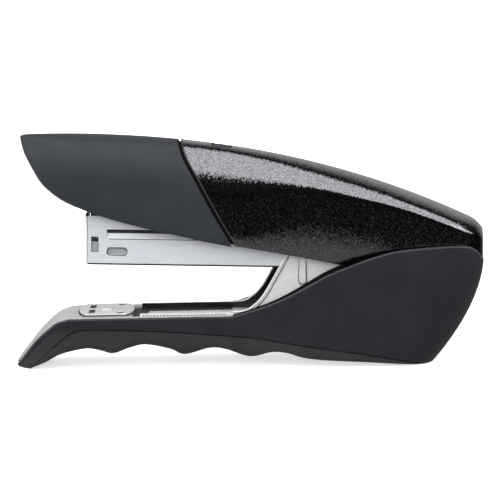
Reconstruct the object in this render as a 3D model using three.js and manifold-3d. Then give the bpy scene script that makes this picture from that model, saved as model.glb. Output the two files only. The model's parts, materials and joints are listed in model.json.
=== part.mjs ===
// A push-button, front-loading hand stapler: lower handle with anvil, hinged magazine with a
// pull-out staple drawer, and an upper handle that carries the driver blade.
// Millimetres. X runs from the nose (-X) to the heel (+X), Y across, Z up. The handle's tip and
// heel rest on Z = 0, and the object is symmetric about Y = 0 apart from the pin's head and clip.
import * as THREE from 'three';
import { ParametricGeometry } from 'three/addons/geometries/ParametricGeometry.js';
import { mergeVertices } from 'three/addons/utils/BufferGeometryUtils.js';
import Module from 'manifold-3d';

const wasm = await Module();
wasm.setup();

// ---------- driving dimensions ----------
const GAP = 0.3;
// half width of a cutting body that passes right through
const CUT = 20;

// hinge shared by the magazine and the upper handle
const PIVOT_X = 62;
const PIVOT_Z = 32;
const PIN_R = 2;
const PIN_HOLE_R = PIN_R + GAP;

// a 26/6 staple, and the sheet-metal magazine around it
const STAPLE_HALF = 6.35;
const STAPLE_WIRE = 0.5;
const STAPLE_LEG = 6;
const MAG_FRONT_X = -55.5;
const MAG_BOTTOM_Z = 35.7;
const MAG_TILT = THREE.MathUtils.degToRad(2);
const MAG_HALF = 7.5;
const MAG_WALL = 0.55;
const MAG_HEIGHT = 16.8;
const DRAWER_LENGTH = 95;
const RAIL_TOP = 7.3;
const BLADE_X = 2;
const BLADE_T = 0.6;
const ROD_Z = 4;
const ROD_R = 0.7;
const ROD_HOLE_R = ROD_R + 0.25;

// chassis ears and driver frame flanges, from the magazine outwards
const EAR_IN = 7.8;
const EAR_OUT = 8.8;
const FLANGE_IN = 9.2;
const FLANGE_OUT = 10;

// lower handle
const BASE_TIP_X = -80.3;
const BASE_REAR_X = 79.4;
const ARM_HALF = 11.4;
const BASE_HALF = 16.4;
const ARM_TOP = 17.9;
const SHELL_WALL = 1.5;
const TRIM_T = 1.2;
const RIM_T = 0.7;
const RIM_DROP = 0.15;
const FLOOR_Z = 16.1;
const FLOOR_T = 0.5;

// upper handle
const NOSE_TIP_X = -77;
const COVER_WALL = 1.6;
const ARCH_HEIGHT = 15;
const SEAM_GAP = 0.8;
const COVER_REAR_Z = 35;

// anvil plate
const RIVET_X = -49;
const PLATE_HALF_LENGTH = 9.5;
const PLATE_HALF = 8.3;
const PLATE_Z = ARM_TOP + 0.2;
const PLATE_T = 0.8;
const POCKET_OFFSET = 4.9;

// release button
const BUTTON_X = -8.7;
const BUTTON_HALF_X = 3.1;
const BUTTON_HALF_Y = 5;

// ---------- materials ----------
const material = (color, roughness, metalness) => (
  new THREE.MeshStandardMaterial({ color, roughness, metalness }));
const softTouch = material(0x2f3236, 0.62, 0);
const sparkleGloss = material(0x14151a, 0.25, 0.1);
const gripRubber = material(0x36383b, 0.85, 0);
const satinSteel = material(0xd6d6d2, 0.38, 0.9);
const plateSteel = material(0xe4e4e2, 0.3, 0.9);
const brightSteel = material(0xdfe3ea, 0.16, 1);
const springSteel = material(0x9b9ea3, 0.3, 1);
const darkPlastic = material(0x202124, 0.5, 0);

// ---------- solids ----------
function toSolid(geometry) {
  const bare = geometry.clone();
  bare.deleteAttribute('normal');
  bare.deleteAttribute('uv');
  const merged = mergeVertices(bare, 1e-4);
  const points = merged.attributes.position.array;
  const faces = [];
  let volume = 0;
  const corner = (i) => new THREE.Vector3().fromArray(points, 3 * i);
  for (let i = 0; i < merged.index.count; i += 3) {
    const [a, b, c] = [0, 1, 2].map((k) => merged.index.getX(i + k));
    if (a === b || b === c || c === a) continue;
    faces.push([a, b, c]);
    volume += corner(a).dot(corner(b).cross(corner(c)));
  }
  const turned = volume < 0 ? faces.map(([a, b, c]) => [a, c, b]) : faces;
  return new wasm.Manifold(new wasm.Mesh({
    numProp: 3,
    vertProperties: new Float32Array(points),
    triVerts: new Uint32Array(turned.flat()),
  }));
}

function addPart(parent, name, solid, look) {
  const data = solid.getMesh();
  const geometry = new THREE.BufferGeometry();
  geometry.setAttribute('position', new THREE.BufferAttribute(new Float32Array(data.vertProperties), 3));
  geometry.setIndex(new THREE.BufferAttribute(new Uint32Array(data.triVerts), 1));
  geometry.computeVertexNormals();
  const mesh = new THREE.Mesh(geometry, look);
  mesh.name = name;
  parent.add(mesh);
  return mesh;
}

const unite = (solids) => solids.reduce((sum, one) => sum.add(one));

function block(x0, x1, y0, y1, z0, z1) {
  const geometry = new THREE.BoxGeometry(x1 - x0, y1 - y0, z1 - z0);
  geometry.translate((x0 + x1) / 2, (y0 + y1) / 2, (z0 + z1) / 2);
  return toSolid(geometry);
}

// the same block on both sides of Y = 0
const blockPair = (x0, x1, y0, y1, z0, z1) => (
  unite([block(x0, x1, y0, y1, z0, z1), block(x0, x1, -y1, -y0, z0, z1)]));

function outline(points) {
  const shape = new THREE.Shape();
  points.forEach(([a, b], i) => (i === 0 ? shape.moveTo(a, b) : shape.lineTo(a, b)));
  return shape;
}

const smooth = (points, steps) => new THREE.SplineCurve(points.map(([a, b]) => new THREE.Vector2(a, b)))
  .getPoints(steps).map((p) => [p.x, p.y]);

// a side profile in X and Z, extruded from Y = y0 to Y = y1
function sideSlab(points, y0, y1) {
  const geometry = new THREE.ExtrudeGeometry(outline(points), { depth: y1 - y0, bevelEnabled: false });
  geometry.rotateX(Math.PI / 2);
  geometry.translate(0, y1, 0);
  return toSolid(geometry);
}

const sideSlabPair = (points, y0, y1) => unite([sideSlab(points, y0, y1), sideSlab(points, -y1, -y0)]);

// a plan profile in X and Y, extruded from Z = z0 to Z = z1
function planSlab(points, z0, z1) {
  const geometry = new THREE.ExtrudeGeometry(outline(points), { depth: z1 - z0, bevelEnabled: false });
  geometry.translate(0, 0, z0);
  return toSolid(geometry);
}

// a round bar along Z, Y or X
function bar(axis, radius, from, to, a, b, sides = 24) {
  const geometry = new THREE.CylinderGeometry(radius, radius, to - from, sides);
  const middle = (from + to) / 2;
  if (axis === 'z') geometry.rotateX(Math.PI / 2).translate(a, b, middle);
  if (axis === 'y') geometry.translate(a, middle, b);
  if (axis === 'x') geometry.rotateZ(Math.PI / 2).translate(middle, a, b);
  return toSolid(geometry);
}

// a turned body about Z, from its profile as radius and height
function lathe(profile, sides = 32) {
  const geometry = new THREE.LatheGeometry(profile.map(([r, z]) => new THREE.Vector2(r, z)), sides);
  geometry.rotateX(Math.PI / 2);
  return toSolid(geometry);
}

// rings of points joined into one closed body, its end rings closed to their middles
function loft(rings) {
  const middle = (ring) => (
    ring.reduce((sum, p) => sum.add(p), new THREE.Vector3()).divideScalar(ring.length));
  const first = middle(rings[0]);
  const last = middle(rings[rings.length - 1]);
  const count = rings[0].length;
  const rows = rings.length + 1;
  const place = (u, v, target) => {
    const row = Math.round(u * rows);
    const column = Math.round(v * count) % count;
    if (row === 0) return target.copy(first);
    if (row === rows) return target.copy(last);
    return target.copy(rings[row - 1][column]);
  };
  return toSolid(new ParametricGeometry(place, rows, count));
}

function coil(radius, wire, height, turns) {
  class Helix extends THREE.Curve {
    getPoint(t, target = new THREE.Vector3()) {
      const angle = 2 * Math.PI * turns * t;
      return target.set(radius * Math.cos(angle), radius * Math.sin(angle), wire + (height - 2 * wire) * t);
    }
  }
  const section = new THREE.Shape().absarc(0, 0, wire, 0, 2 * Math.PI);
  return toSolid(new THREE.ExtrudeGeometry(section, {
    steps: turns * 8,
    curveSegments: 5,
    extrudePath: new Helix(),
  }));
}

// ---------- the handles' free-form outlines ----------
const easeInOut = (t) => THREE.MathUtils.smoothstep(t, 0, 1);
const rounded = (u, p, q) => Math.pow(Math.max(1 - Math.pow(THREE.MathUtils.clamp(u, 0, 1), p), 0), q);
const along = (from, to, count) => Array.from({ length: count }, (_, i) => (
  from + (to - from) * 0.5 * (1 - Math.cos(Math.PI * i / (count - 1)))));

// top line of the upper handle
const topCurve = new THREE.CubicBezierCurve(
  new THREE.Vector2(-76, 79.4),
  new THREE.Vector2(3.6, 79.5),
  new THREE.Vector2(47, 61.1),
  new THREE.Vector2(78.5, 46.2),
).getPoints(200);

function topZ(x) {
  const next = topCurve.findIndex((p) => p.x >= x);
  if (next === 0) return topCurve[0].y - 0.4 * Math.pow(topCurve[0].x - x, 1.5);
  const b = topCurve[next < 0 ? topCurve.length - 1 : next];
  const a = topCurve[next < 0 ? topCurve.length - 2 : next - 1];
  return a.y + (b.y - a.y) * (x - a.x) / (b.x - a.x);
}

// half width of the upper handle, moved in by inset
function coverHalf(x, inset) {
  const nose = rounded((-50 - x) / (-50 - NOSE_TIP_X - inset), 2, 0.55);
  const rear = rounded((x - 56) / (BASE_REAR_X - 0.1 - inset - 56), 2.5, 1 / 2.5);
  const widest = 12.2 + 1.7 * easeInOut((x + 50) / 95);
  return (widest - inset) * nose * rear;
}

// the upper handle's arched bar, before its side outline is cut
function coverBar(inset) {
  const floor = 18;
  const sides = 14;
  const xs = along(NOSE_TIP_X + inset + 0.05, BASE_REAR_X - 0.15 - inset, 32);
  return loft(xs.map((x) => {
    const half = coverHalf(x, inset);
    const top = topZ(x) - inset;
    const shoulder = topZ(x) - ARCH_HEIGHT;
    const ring = [new THREE.Vector3(x, half, floor)];
    for (let i = 0; i <= sides; i += 1) {
      const angle = Math.PI * i / sides;
      const across = Math.sign(Math.cos(angle)) * Math.pow(Math.abs(Math.cos(angle)), 2 / 2.6);
      const up = Math.pow(Math.sin(angle), 2 / 2.2);
      ring.push(new THREE.Vector3(x, half * across, shoulder + (top - shoulder) * up));
    }
    ring.push(new THREE.Vector3(x, -half, floor));
    return ring;
  }));
}

// rearmost point of the lower handle at height z
const baseRear = (z) => BASE_REAR_X - 16.9 * Math.pow(Math.max(1 - z / 36, 0), 1.8);

// half width of the lower handle at x and height z, moved in by inset
function baseHalf(x, z, inset) {
  const ramp = easeInOut((x + 8) / 38);
  const level = Math.pow(THREE.MathUtils.clamp(z / 30, 0, 1), 0.6);
  const low = ARM_HALF - 0.8 + 2.8 * ramp;
  const high = ARM_HALF + (BASE_HALF - ARM_HALF) * ramp;
  const rear = baseRear(z) - 1.2 * inset;
  const tongue = rounded((-56 - x) / (-56 - BASE_TIP_X - inset), 2.6, 0.5);
  const heel = rounded((x - (rear - 21)) / 21, 3, 1 / 3);
  return (low + (high - low) * level - inset) * tongue * heel;
}

function baseBar(inset) {
  const levels = [-2, 0, 3, 8, 14, 21, 30, 43];
  return loft(levels.map((z) => {
    const xs = along(baseRear(Math.max(z, 0)) - 1.2 * inset, BASE_TIP_X + inset, 26);
    const near = xs.map((x) => new THREE.Vector3(x, baseHalf(x, Math.max(z, 0), inset), z));
    const far = near.slice(1, -1).reverse().map((p) => new THREE.Vector3(p.x, -p.y, z));
    return [...near, ...far];
  }));
}

// upper edge of the lower handle's front, tip to flat top, and copies of it lowered square to it
const armTop = smooth([
  [-80.4, 1.2], [-79, 3.4], [-72.2, 11.2], [-65.9, 15.9], [-60.5, 17.6], [-55.5, ARM_TOP],
], 14);

function lowered(points, distance) {
  return points.map(([x, z], i) => {
    const [x0, z0] = points[Math.max(i - 1, 0)];
    const [x1, z1] = points[Math.min(i + 1, points.length - 1)];
    const length = Math.hypot(x1 - x0, z1 - z0);
    return [x + distance * (z1 - z0) / length, z - distance * (x1 - x0) / length];
  });
}

// where the soft grip meets the shell, tip to heel
const partingLine = smooth([
  [-75, 0.2], [-70.5, 4.6], [-65, 9.8], [-60.2, 13.2], [-54.1, 14.1], [-34, 13.3],
  [-17.2, 12], [0, 10.4], [16.4, 8], [33.3, 5.4], [50.1, 2.3], [58.5, 0.5],
], 44);

// finger waves along the underside, heel to tip
const gripWaves = smooth([
  [20.1, 2.6], [12, 4.7], [7, 4.9], [-0.5, 3.3], [-8.9, 6], [-14, 6.5], [-22.5, 4.4], [-27.5, 6.4],
  [-35.6, 8.1], [-41, 7.1], [-46.8, 5.2], [-51.2, 6.3], [-56.2, 7], [-64.7, 5.1], [-69.9, 2.4], [-74, 0.7],
], 64);

// rim of the rear bucket, heel to arm
const shellRim = smooth([
  [78.4, 34.5], [77.3, 37], [75.4, 39.4], [72, 40.9], [64, 41.2], [50.1, 40.1], [41.8, 38.2],
  [33.4, 35.3], [26, 32.3], [20.1, 29], [13.9, 25.4], [7.5, 22.3], [1.7, 20.2], [-5.5, 18],
], 40);

// ---------- lower handle ----------
const BOSS_XS = [9, 44];
const SCREW_R = 1;
const SCREW_HOLE_R = SCREW_R + GAP;

function baseShell() {
  const body = sideSlab([
    [BASE_TIP_X - 1, 0], [-75.3, 0], ...partingLine, [59, 0], [95, 0], [95, 34.5], ...shellRim,
    [-5.5, ARM_TOP - RIM_DROP], ...lowered(armTop, RIM_DROP).reverse(), [BASE_TIP_X - 1, 1],
  ], -CUT, CUT).intersect(baseBar(0));
  const trimRoom = sideSlab([
    ...lowered(armTop, TRIM_T + GAP), [-5.5, ARM_TOP - TRIM_T - GAP], [-5.5, 30], [-90, 30], [-90, 0],
  ], -CUT, CUT).intersect(baseBar(RIM_T));
  const bucket = sideSlab([
    [-7, 16.4], [-1, 14.8], [16.4, 10.6], [33.3, 8], [50.1, 5], [58, 3.4], [95, 3.4], [95, 60], [-7, 60],
  ], -CUT, CUT).intersect(baseBar(SHELL_WALL));
  const bosses = unite(BOSS_XS.map((x) => bar('z', 3.2, 5, FLOOR_Z - GAP, x, 0)));
  const bossCut = sideSlab([[-10, 12.6], [60, 2.6], [60, 30], [-10, 30]], -6, 6);
  const holes = BOSS_XS.map((x) => bar('z', SCREW_HOLE_R, FLOOR_Z - 5, FLOOR_Z, x, 0));
  const pocket = bar('z', 4.3, ARM_TOP - 2.9, ARM_TOP, RIVET_X, 0, 32);
  const tray = block(-37.4 - GAP, 0, -EAR_OUT - GAP, EAR_OUT + GAP, FLOOR_Z - GAP, 30);
  const coverRoom = coverBar(-0.45).intersect(block(40, 95, -CUT, CUT, COVER_REAR_Z - 0.5, 60));
  return unite([body.subtract(unite([bucket, coverRoom, trimRoom])), bosses.intersect(bossCut)])
    .subtract(unite([pocket, tray, ...holes]));
}

function gripInsert() {
  return sideSlab([
    ...lowered(partingLine, GAP / 2), [58.5, 0], [40.5, 1.3], ...gripWaves,
  ], -CUT, CUT).intersect(baseBar(0.1));
}

function baseTrim() {
  const plate = sideSlab([
    ...armTop.slice(1), [-6, ARM_TOP], [-6, ARM_TOP - TRIM_T], ...lowered(armTop, TRIM_T).slice(1).reverse(),
  ], -CUT, CUT).intersect(baseBar(RIM_T + GAP));
  const slot = block(-40, 0, -EAR_OUT - GAP, EAR_OUT + GAP, 10, 30);
  return plate.subtract(slot).subtract(bar('z', 1.8, 10, 30, RIVET_X, 0));
}

function chassis() {
  const floor = block(-37.4, 52, -EAR_OUT, EAR_OUT, FLOOR_Z, FLOOR_Z + FLOOR_T);
  const bead = sideSlab([
    [-36, FLOOR_Z + 0.2], [-34.5, FLOOR_Z + 1], [0, FLOOR_Z + 1], [1.5, FLOOR_Z + 0.2],
  ], -2.4, 2.4);
  const arc = Array.from({ length: 9 }, (_, i) => {
    const angle = THREE.MathUtils.degToRad(80 - 20 * i);
    return [PIVOT_X + 6.5 * Math.cos(angle), PIVOT_Z + 6.5 * Math.sin(angle)];
  });
  const ears = sideSlabPair([
    [-37.4, FLOOR_Z], [-37.4, 18.7], [-4.5, 18.7],
    ...smooth([[-2.2, 18.9], [0.4, 20.2], [4.3, 24], [9.5, 32.7], [13, 39]], 10),
    [20, 40], [50, 39.2], ...arc, [50, FLOOR_Z],
  ], EAR_IN, EAR_OUT);
  const ribs = unite([-1, 1].map((side) => {
    const rib = unite([block(16, 18.7, -0.3, 0.3, 29.8, 36.5), bar('y', 1.35, -0.3, 0.3, 17.35, 29.8, 16)]);
    return rib.translate([0, side * (EAR_OUT - 0.05), 0]);
  }));
  const holes = unite([
    bar('y', PIN_HOLE_R, -CUT, CUT, PIVOT_X, PIVOT_Z),
    ...BOSS_XS.map((x) => bar('z', SCREW_HOLE_R, 10, 30, x, 0)),
  ]);
  return unite([floor, bead, ears, ribs]).subtract(holes);
}

function screw(headZ, tipZ, headR) {
  const down = Math.sign(tipZ - headZ);
  return lathe([
    [0, headZ - down * 1.2], [headR * 0.75, headZ - down * 1.2], [headR, headZ - down * 0.6],
    [headR, headZ], [SCREW_R, headZ], [SCREW_R, tipZ - down * 0.8], [0.3, tipZ], [0, tipZ],
  ], 20);
}

function anvilPlate() {
  const bow = (side) => [-1, -0.9, -0.6, -0.2, 0.2, 0.6, 0.9, 1].map((t) => (
    [side * (PLATE_HALF_LENGTH - 2.2 * t * t - 0.8 * Math.pow(t, 12)), side * t * PLATE_HALF]));
  const plate = planSlab([...bow(1), ...bow(-1)], 0, PLATE_T);
  const pocket = (x, y0, y1) => blockPair(x - 1, x + 1, y0, y1, PLATE_T - 0.45, PLATE_T + 1);
  return plate
    .subtract(bar('z', 1.8, -1, 2, 0, 0))
    .subtract(pocket(-POCKET_OFFSET, 0.8, 6.6))
    .subtract(pocket(POCKET_OFFSET, 5.2, 7.6));
}

const base = new THREE.Group();
addPart(base, 'base_shell', baseShell(), softTouch);
addPart(base, 'grip_insert', gripInsert(), gripRubber);
addPart(base, 'base_trim', baseTrim(), satinSteel);
addPart(base, 'chassis', chassis(), satinSteel);
BOSS_XS.forEach((x, i) => {
  const one = addPart(base, `chassis_screw_${i + 1}`, screw(0, -5, 2.6), springSteel);
  one.position.set(x, 0, FLOOR_Z + FLOOR_T + 0.05);
});
addPart(base, 'anvil_rivet', lathe([
  [0, -2.7], [2.6, -2.7], [2.6, -2.4], [1.5, -2.4], [1.5, 1.05], [2.2, 1.05], [2.1, 1.3], [0, 1.35],
]).translate([RIVET_X, 0, ARM_TOP]), plateSteel);
addPart(base, 'anvil_washer', lathe([
  [1.8, -2.25], [3.8, -2.1], [3.8, -1.7], [1.8, -1.85], [1.8, -2.25],
]).translate([RIVET_X, 0, ARM_TOP]), springSteel);
addPart(base, 'anvil_plate', anvilPlate(), plateSteel).position.set(RIVET_X, 0, PLATE_Z);
const pin = lathe([
  [0, -11.4], [2.6, -11.4], [3.2, -11], [3.2, -10.4], [PIN_R, -10.4], [PIN_R, 11], [1.6, 11.4], [0, 11.4],
]);
addPart(base, 'pivot_pin', pin.rotate([-90, 0, 0]).translate([PIVOT_X, 0, PIVOT_Z]), springSteel);
const CLIP_BORE = PIN_R + 0.05;
const clip = lathe([[CLIP_BORE, 10.3], [3.6, 10.3], [3.6, 10.8], [CLIP_BORE, 10.8], [CLIP_BORE, 10.3]]);
addPart(base, 'pivot_clip', clip.rotate([-90, 0, 0]).translate([PIVOT_X, 0, PIVOT_Z]), springSteel);
const RETURN_SPRING_X = 27;
addPart(base, 'return_spring', coil(4, 0.5, 15.5, 5), springSteel)
  .position.set(RETURN_SPRING_X, 0, FLOOR_Z + FLOOR_T + 0.1);

// ---------- magazine, in its own frame: X back from its front face, Z up from its underside ----------
const magazine = new THREE.Group();
magazine.position.set(MAG_FRONT_X, 0, MAG_BOTTOM_Z);
magazine.rotation.y = MAG_TILT;
const reach = new THREE.Vector2(PIVOT_X - MAG_FRONT_X, PIVOT_Z - MAG_BOTTOM_Z);
const PX = reach.x * Math.cos(MAG_TILT) - reach.y * Math.sin(MAG_TILT);
const PZ = reach.x * Math.sin(MAG_TILT) + reach.y * Math.cos(MAG_TILT);

function magazineChannel() {
  const inner = MAG_HALF - MAG_WALL;
  const lug = Array.from({ length: 7 }, (_, i) => {
    const angle = THREE.MathUtils.degToRad(75 - 25 * i);
    return [PX + 5.6 * Math.cos(angle), PZ + 5.6 * Math.sin(angle)];
  });
  const walls = sideSlabPair([
    [0.9, 0], [0.9, MAG_HEIGHT], [64, MAG_HEIGHT], [98, 11], ...lug, [100, 0],
  ], inner, MAG_HALF);
  const web = block(3.1, 100, -MAG_HALF, MAG_HALF, 0, MAG_WALL);
  const bead = sideSlabPair([[7.4, 9.7], [57, 9.7], [57, 11.6], [7.4, 11.6]], inner - 0.3, inner + 0.1);
  const groove = sideSlabPair([
    [7, 9.1], [57, 9.1], [57, 12.2], [7, 12.2],
  ], MAG_HALF - 0.3, MAG_HALF + 1);
  const window = block(2.3, 4.4, -CUT, CUT, 4.7, 9.6);
  const slot = unite([
    block(8.7, 12.9, -CUT, CUT, 3.5, 6),
    ...[8.7, 12.9].map((x) => bar('y', 1.25, -CUT, CUT, x, 4.75, 16)),
  ]);
  const pinHole = bar('y', PIN_HOLE_R, -CUT, CUT, PX, PZ);
  return unite([walls, web, bead]).subtract(unite([groove, window, slot, pinHole]));
}

// a bridge between the magazine's walls
const bridge = (x0, x1, z0, z1) => {
  const half = MAG_HALF - MAG_WALL - GAP / 2;
  return unite([block(x0, x1, -half, half, z0, z1), blockPair(x0, x1, half - 0.6, half, z0, z1 + 2)]);
};

function latchLeaf() {
  const strip = sideSlab([
    [59, 11.2], [46, 9.4], [43.5, 8.7], [42.5, 9.2], [43.4, 9.4], [46, 10.1], [59, 12],
  ], -3, 3);
  return unite([bridge(58, 63, 11.2, 12), strip]);
}

addPart(magazine, 'magazine_channel', magazineChannel(), brightSteel);
addPart(magazine, 'latch_leaf', latchLeaf(), springSteel);
const SPRING_SEAT = { x: 73, z: 10.2 };
const springBridge = bridge(SPRING_SEAT.x - 5, SPRING_SEAT.x + 5, 9.4, SPRING_SEAT.z);
addPart(magazine, 'spring_bridge', springBridge, satinSteel);
addPart(magazine, 'lift_spring', coil(3.6, 0.5, 8.9, 4), springSteel)
  .position.set(SPRING_SEAT.x, 0, SPRING_SEAT.z + 0.1);

// drawer that pulls out of the magazine's front
const drawer = new THREE.Group();
magazine.add(drawer);

function drawerFrame() {
  const front = block(0, 0.7, -MAG_HALF + 0.1, MAG_HALF - 0.1, 0.2, MAG_HEIGHT - 0.2);
  const strips = blockPair(0.5, DRAWER_LENGTH, STAPLE_HALF + 0.15, STAPLE_HALF + 0.4, 0.9, 8);
  const back = block(DRAWER_LENGTH - 0.6, DRAWER_LENGTH, -STAPLE_HALF - 0.4, STAPLE_HALF + 0.4, 0.9, 8);
  return unite([front, strips, back]).subtract(bar('x', ROD_HOLE_R, 80, 100, 0, ROD_Z, 16));
}

function stapleRail() {
  const half = STAPLE_HALF - STAPLE_WIRE - 0.15;
  const outer = block(3, DRAWER_LENGTH - 0.9, -half, half, 0.9, RAIL_TOP);
  const hollow = block(3.6, DRAWER_LENGTH, -half + 0.6, half - 0.6, -1, RAIL_TOP - 0.6);
  const slot = block(8, DRAWER_LENGTH - 6, -1.8, 1.8, 0, 20);
  return outer.subtract(hollow).subtract(slot).subtract(bar('x', ROD_HOLE_R, 0, 10, 0, ROD_Z, 16));
}

// inverted U of the staples' section, from x0 to x1
function saddle(x0, x1, half, top, bottom, wall) {
  const cover = block(x0, x1, -half, half, bottom, top);
  return cover.subtract(block(x0 - 1, x1 + 1, -half + wall, half - wall, bottom - 1, top - wall));
}

const STRIP_START = 3;
const STRIP_END = 33;
const CROWN = RAIL_TOP + 0.1 + STAPLE_WIRE;
addPart(drawer, 'drawer_frame', drawerFrame(), brightSteel);
addPart(drawer, 'staple_rail', stapleRail(), satinSteel);
addPart(drawer, 'guide_rod', bar('x', ROD_R, 3.1, DRAWER_LENGTH + 0.5, 0, ROD_Z, 16), springSteel);
addPart(drawer, 'staple_strip', saddle(
  STRIP_START, STRIP_END, STAPLE_HALF, CROWN, CROWN - STAPLE_LEG, STAPLE_WIRE,
), brightSteel);

function pusher() {
  const cover = saddle(STRIP_END + 0.2, STRIP_END + 10, STAPLE_HALF - 0.05, RAIL_TOP + 0.9, 1.6, 0.5);
  const keel = block(STRIP_END + 2, STRIP_END + 9, -1.4, 1.4, ROD_Z - 1.9, RAIL_TOP + 0.6);
  return unite([cover, keel]).subtract(bar('x', ROD_HOLE_R, 0, 99, 0, ROD_Z, 16));
}

addPart(drawer, 'pusher', pusher(), darkPlastic);
const springLength = DRAWER_LENGTH - 1.2 - (STRIP_END + 9.2);
addPart(drawer, 'pusher_spring', coil(1.8, 0.25, springLength, 9).rotate([0, 90, 0])
  .translate([STRIP_END + 9.2, 0, ROD_Z]), springSteel);

// ---------- upper handle ----------
const WEB_T = 0.9;
const webTop = [[-50.6, 62.6], [0, 57.6], [34, 51]];
const COVER_SCREWS = [['nose_screw', -33], ['rear_screw_1', 4], ['rear_screw_2', 28]];
const RIVET_ROW_X = -46;
const RIVET_YS = [-3, 3];
const BLADE_FOOT_Z = MAG_BOTTOM_Z + 8.4;
const BLADE_FOOT_X = MAG_FRONT_X + BLADE_X + 0.3;

// height of the driver frame's upper face
function webZ(x) {
  const [a, b] = x < webTop[1][0] ? [webTop[0], webTop[1]] : [webTop[1], webTop[2]];
  return a[1] + (b[1] - a[1]) * (x - a[0]) / (b[0] - a[0]);
}

function armFrame() {
  const arc = Array.from({ length: 8 }, (_, i) => {
    const angle = THREE.MathUtils.degToRad(70 - 25 * i);
    return [PIVOT_X + 6 * Math.cos(angle), PIVOT_Z + 6 * Math.sin(angle)];
  });
  const flanges = sideSlabPair([
    ...webTop, [54, 41], ...arc, [30, 39.5], [-5, 46], [-45, 56.5], [-50.6, 57.5],
  ], FLANGE_IN, FLANGE_OUT);
  const webUnder = webTop.map(([x, z]) => [x, z - WEB_T]).reverse();
  const web = sideSlab([...webTop, ...webUnder], -FLANGE_OUT, FLANGE_OUT);
  const holes = unite([
    bar('y', PIN_HOLE_R, -CUT, CUT, PIVOT_X, PIVOT_Z),
    ...COVER_SCREWS.map(([, x]) => bar('z', SCREW_HOLE_R, 40, 70, x, 0, 20)),
    ...RIVET_YS.map((y) => bar('z', SCREW_HOLE_R, 50, 70, RIVET_ROW_X, y, 20)),
    bar('z', 2.4, 40, 70, BUTTON_X, 0, 20),
  ]);
  return unite([flanges, web]).subtract(holes);
}

// the blade leans back so that it crosses the magazine upright in mid stroke
function driverBlade() {
  const lean = Math.tan(2 * MAG_TILT);
  const [front] = webTop[0];
  const rise = webZ(front) + 0.4 - BLADE_FOOT_Z;
  const foot = BLADE_FOOT_X;
  const shoulder = foot + lean * rise;
  const slope = (webTop[1][1] - webTop[0][1]) / (webTop[1][0] - webTop[0][0]);
  const end = -41;
  const tabZ = webZ(front) + 0.45;
  const blade = sideSlab([
    [foot, BLADE_FOOT_Z], [foot + BLADE_T, BLADE_FOOT_Z], [shoulder + BLADE_T, tabZ + slope * 2],
    [end, tabZ + slope * (end - front)], [end, tabZ + slope * (end - front) + BLADE_T],
    [shoulder, tabZ + BLADE_T],
  ], -6.2, 6.2);
  return blade.subtract(unite(RIVET_YS.map((y) => bar('z', SCREW_HOLE_R, 55, 70, RIVET_ROW_X, y, 20))));
}

// joint line between the nose cover and the rear cover, crown to lower edge
const seam = smooth([
  [-24.2, 79.5], [-23.3, 77.7], [-21.1, 71.6], [-17.1, 64.1], [-11.4, 53.1], [-5.8, 43],
], 12);
const shift = (points, dx) => points.map(([x, z]) => [x + dx, z]);

function boss(x) {
  const foot = webZ(x - 3) + GAP;
  return bar('z', 3, foot, topZ(x) - 1, x, 0, 20);
}
const bossHole = (x) => bar('z', SCREW_HOLE_R, 40, webZ(x) + 7, x, 0, 20);

function noseCover() {
  const body = sideSlab([
    ...smooth([
      [-77.2, 81.5], [-75.8, 78.6], [-74.7, 74], [-72, 68.7], [-69.4, 64.4], [-66.8, 61.8], [-62.8, 58.8],
      [-57.5, 56.1], [-53.5, 54.4],
    ], 18),
    [-49.6, 52.9], [-39, 49.7], [-29.5, 47.1], [-15.3, 43.6],
    ...shift(seam, -SEAM_GAP / 2).reverse(), [-25, 90], [-78, 90],
  ], -CUT, CUT).intersect(coverBar(0));
  const hollow = sideSlab([
    [-73.4, 90], [-73.2, 77], [-71.4, 72], [-68.6, 67.4], [-64.3, 63], [-58.6, 58.9], [-56, 57.6],
    [-56, 30], [0, 30], [0, 90],
  ], -CUT, CUT).intersect(coverBar(COVER_WALL));
  const [, x] = COVER_SCREWS[0];
  return unite([body.subtract(hollow), boss(x)]).subtract(bossHole(x));
}

const buttonPlan = (grow) => {
  const reachY = BUTTON_HALF_Y - BUTTON_HALF_X;
  const half = BUTTON_HALF_X + grow;
  const round = (side) => Array.from({ length: 13 }, (_, i) => {
    const angle = Math.PI * (i / 12) + (side > 0 ? 0 : Math.PI);
    return [BUTTON_X + half * Math.cos(angle), side * reachY + half * Math.sin(angle)];
  });
  return [...round(1), ...round(-1)];
};

function rearCover() {
  const body = sideSlab([
    ...shift(seam, SEAM_GAP / 2), [-4, 41.9], [4.2, 40.4], [19.5, 37.3], [30.2, COVER_REAR_Z],
    [95, COVER_REAR_Z], [95, 90], [-24, 90],
  ], -CUT, CUT).intersect(coverBar(0));
  const hollow = block(-40, 95, -CUT, CUT, 20, 90).intersect(coverBar(COVER_WALL));
  const screws = COVER_SCREWS.slice(1).map(([, x]) => x);
  return unite([body.subtract(hollow), ...screws.map(boss)])
    .subtract(unite([...screws.map(bossHole), planSlab(buttonPlan(0.25), 60, 90)]));
}

const BUTTON_TOP = topZ(BUTTON_X) - 0.5;

function releaseButton() {
  const cap = planSlab(buttonPlan(0), BUTTON_TOP - 4.4, 90);
  const flange = planSlab(buttonPlan(0.9), BUTTON_TOP - 4.4, BUTTON_TOP - 2.8);
  const slope = (topZ(BUTTON_X + 4) - topZ(BUTTON_X - 4)) / 8;
  const top = sideSlab(Array.from({ length: 9 }, (_, i) => {
    const dx = i - 4;
    return [BUTTON_X + dx, BUTTON_TOP + slope * dx - 0.45 * (1 - Math.pow(dx / 4, 2))];
  }).concat([[BUTTON_X + 4, 95], [BUTTON_X - 4, 95]]), -9, 9);
  const stem = bar('z', 1.6, webZ(BUTTON_X) + 1.6, BUTTON_TOP - 4, BUTTON_X, 0, 20);
  return unite([cap.subtract(top), flange, stem]);
}

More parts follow.
